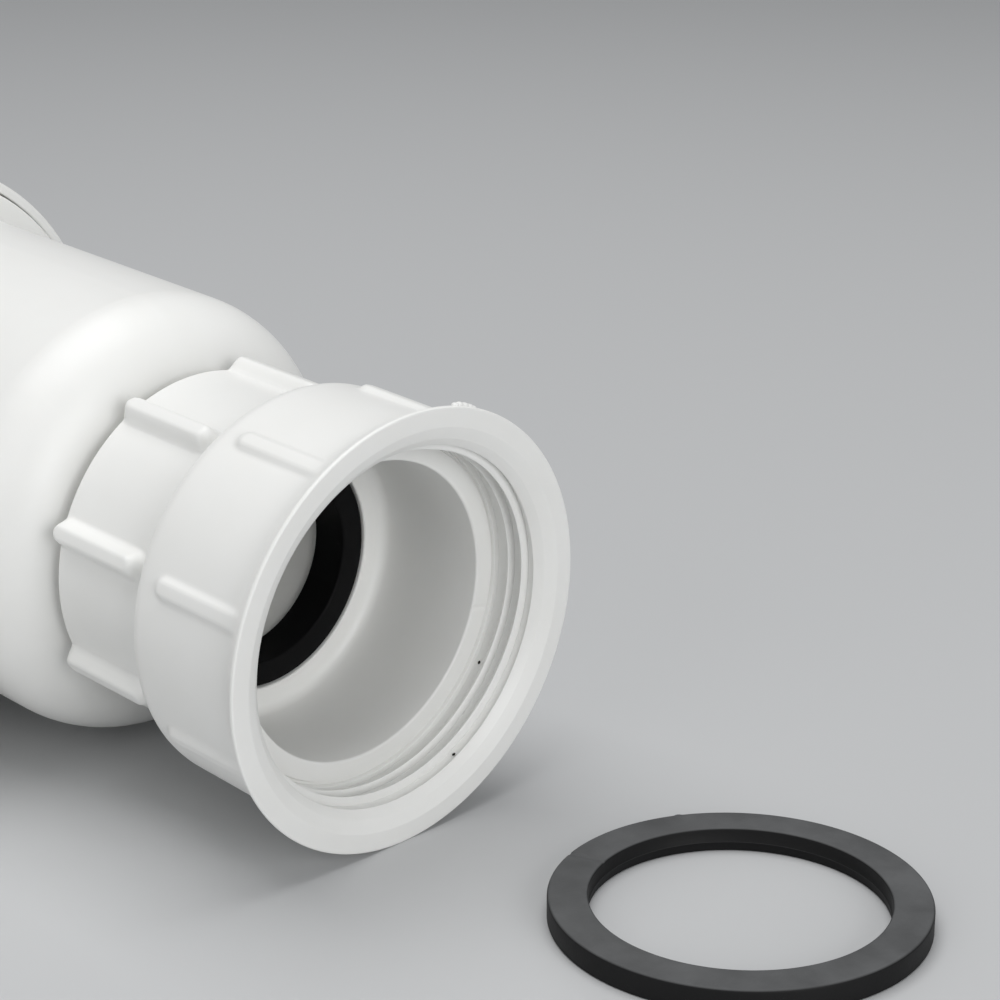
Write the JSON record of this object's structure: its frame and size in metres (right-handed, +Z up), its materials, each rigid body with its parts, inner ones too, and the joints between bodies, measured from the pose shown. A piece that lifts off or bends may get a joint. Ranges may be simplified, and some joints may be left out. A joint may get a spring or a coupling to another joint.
{
  "type": "bottle trap",
  "caption": "White plastic bottle trap for a sink, lying down: ribbed screw-on inlet adaptor, domed body, side outlet with union nut, screw-off cup and a loose rubber washer.",
  "frame": {"origin": "centre of the inlet thread's outer end, on the trap's axis", "axes": "+X out of the inlet mouth (the trap's axis points a little nose-down, as it rests), +Z up from the table, side outlet towards -Y"},
  "size_m": [0.2343, 0.1049, 0.0758],
  "materials": {
    "white_plastic": "satin moulded",
    "black_rubber": "moulded matt",
    "grey_rubber": "cut sheet, dusty",
    "natural_plastic": "waxy"
  },
  "bodies": {
    "trap": {"trap_body": "white_plastic", "dip_tube": "white_plastic", "inlet_washer": "grey_rubber"},
    "neck_seal": {"neck_washer": "black_rubber"},
    "adaptor": {"inlet_adaptor": "white_plastic"},
    "cup_gasket": {"cup_seal": "black_rubber"},
    "cup_bottom": {"cup": "white_plastic"},
    "outlet_seal": {"outlet_cone_washer": "black_rubber", "outlet_slip_ring": "natural_plastic"},
    "outlet_union": {"outlet_nut": "white_plastic"}
  },
  "joints": [
    {"name": "adaptor_travel", "type": "slide", "parent": "trap", "child": "neck_seal", "axis": [0.9978, 0, -0.0667], "range_m": [0, 0.00693]},
    {"name": "adaptor_turn", "type": "hinge", "parent": "neck_seal", "child": "adaptor", "pos_m": [0.00219, 0, -0.00015], "axis": [0.9978, 0, -0.0667], "range_deg": [0, 1080]},
    {"name": "cup_travel", "type": "slide", "parent": "trap", "child": "cup_gasket", "axis": [-0.9978, 0, 0.0667], "range_m": [0, 0.009]},
    {"name": "cup_turn", "type": "hinge", "parent": "cup_gasket", "child": "cup_bottom", "pos_m": [-0.16343, 0, 0.01092], "axis": [-0.9978, 0, 0.0667], "range_deg": [0, 1080]},
    {"name": "outlet_nut_travel", "type": "slide", "parent": "trap", "child": "outlet_seal", "axis": [-0.0105, -0.9876, -0.1566], "range_m": [0, 0.01154]},
    {"name": "outlet_nut_turn", "type": "hinge", "parent": "outlet_seal", "child": "outlet_union", "pos_m": [-0.0783, -0.06321, -0.00484], "axis": [-0.0105, -0.9876, -0.1566], "range_deg": [0, 1800]}
  ],
  "couplings": [
    {"joint": "adaptor_travel", "follows": "adaptor_turn", "m_per_rad": 0.00036749},
    {"joint": "cup_travel", "follows": "cup_turn", "m_per_rad": 0.00047746},
    {"joint": "outlet_nut_travel", "follows": "outlet_nut_turn", "m_per_rad": 0.00036749}
  ]
}
